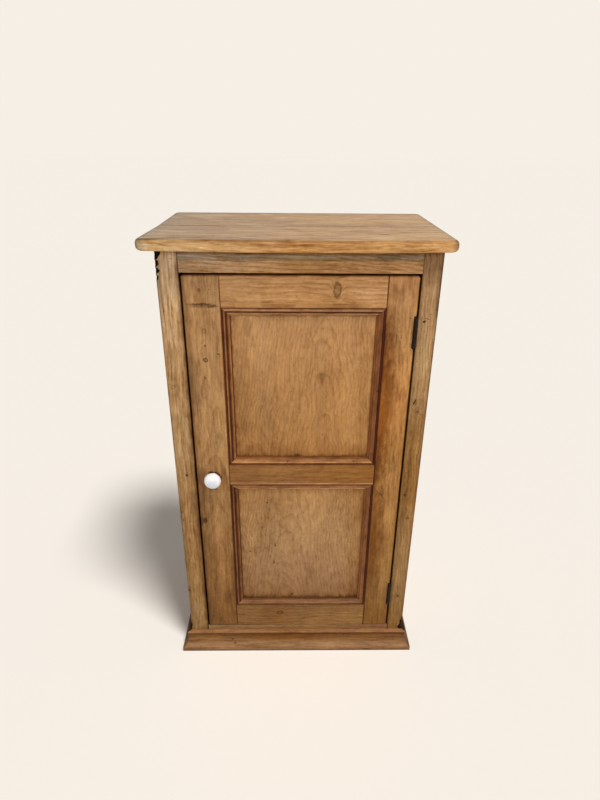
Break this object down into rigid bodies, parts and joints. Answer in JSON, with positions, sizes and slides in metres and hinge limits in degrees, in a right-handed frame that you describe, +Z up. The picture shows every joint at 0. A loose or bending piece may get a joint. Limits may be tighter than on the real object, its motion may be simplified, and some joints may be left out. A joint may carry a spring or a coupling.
{
  "type": "single-door cupboard",
  "caption": "Tall free-standing pine cupboard with a framed and panelled door hung on iron butt hinges, inner shelves, a plinth and a porcelain knob that turns a catch.",
  "frame": {"origin": "on the floor, under the middle of the whole object's box", "axes": "+Z up; -Y towards the door; +X towards the hinge side as seen from the front"},
  "size_m": [0.589, 0.373, 1.032],
  "materials": {
    "pine_top": "worn waxed pine, greyer on the upper surface",
    "pine_frame": "old waxed pine",
    "pine_door": "old waxed pine",
    "pine_panel": "old waxed pine",
    "pine_moulding": "old waxed pine, reddish brown in the quirks",
    "pine_plinth": "old waxed pine, darkened",
    "pine_inside": "bare dry pine",
    "black_iron": "blackened, rubbed",
    "dull_steel": "dull, lightly rusted",
    "white_porcelain": "glossy white glaze"
  },
  "bodies": {
    "carcass": {"back_board_1": "pine_inside", "back_board_2": "pine_inside", "back_board_3": "pine_inside", "back_board_4": "pine_inside", "bottom_board": "pine_inside", "door_stop": "pine_inside", "face_bottom_rail": "pine_frame", "face_top_rail": "pine_frame", "left_face_stile": "pine_frame", "left_side_board": "pine_frame", "lower_hinge_frame_leaf": "black_iron", "lower_hinge_frame_screw_1": "black_iron", "lower_hinge_frame_screw_2": "black_iron", "lower_hinge_frame_screw_3": "black_iron", "lower_hinge_pin": "black_iron", "lower_shelf": "pine_inside", "lower_shelf_left_cleat": "pine_inside", "lower_shelf_right_cleat": "pine_inside", "plinth_front": "pine_plinth", "plinth_left": "pine_plinth", "plinth_right": "pine_plinth", "right_face_stile": "pine_frame", "right_side_board": "pine_frame", "top_front_board": "pine_top", "top_rear_board": "pine_top", "upper_hinge_frame_leaf": "black_iron", "upper_hinge_frame_screw_1": "black_iron", "upper_hinge_frame_screw_2": "black_iron", "upper_hinge_frame_screw_3": "black_iron", "upper_hinge_pin": "black_iron", "upper_shelf": "pine_inside", "upper_shelf_left_cleat": "pine_inside", "upper_shelf_right_cleat": "pine_inside"},
    "door": {"door_bottom_rail": "pine_door", "door_hinge_stile": "pine_door", "door_lock_stile": "pine_door", "door_lower_panel": "pine_panel", "door_middle_rail": "pine_door", "door_top_rail": "pine_door", "door_upper_panel": "pine_panel", "lower_hinge_door_leaf": "black_iron", "lower_hinge_door_screw_1": "black_iron", "lower_hinge_door_screw_2": "black_iron", "lower_hinge_door_screw_3": "black_iron", "lower_panel_bottom_moulding": "pine_moulding", "lower_panel_left_moulding": "pine_moulding", "lower_panel_right_moulding": "pine_moulding", "lower_panel_top_moulding": "pine_moulding", "upper_hinge_door_leaf": "black_iron", "upper_hinge_door_screw_1": "black_iron", "upper_hinge_door_screw_2": "black_iron", "upper_hinge_door_screw_3": "black_iron", "upper_panel_bottom_moulding": "pine_moulding", "upper_panel_left_moulding": "pine_moulding", "upper_panel_right_moulding": "pine_moulding", "upper_panel_top_moulding": "pine_moulding"},
    "catch": {"catch_tongue": "dull_steel", "knob": "white_porcelain", "knob_spindle": "dull_steel", "spindle_nut": "dull_steel"}
  },
  "joints": [
    {"name": "door_hinge", "type": "hinge", "parent": "carcass", "child": "door", "pos_m": [0.2307, -0.1582, 0.5], "axis": [0, 0, 1], "range_deg": [0, 175]},
    {"name": "catch_turn", "type": "hinge", "parent": "door", "child": "catch", "pos_m": [-0.1835, -0.156, 0.5155], "axis": [0, 1, 0], "range_deg": [0, 90]}
  ]
}
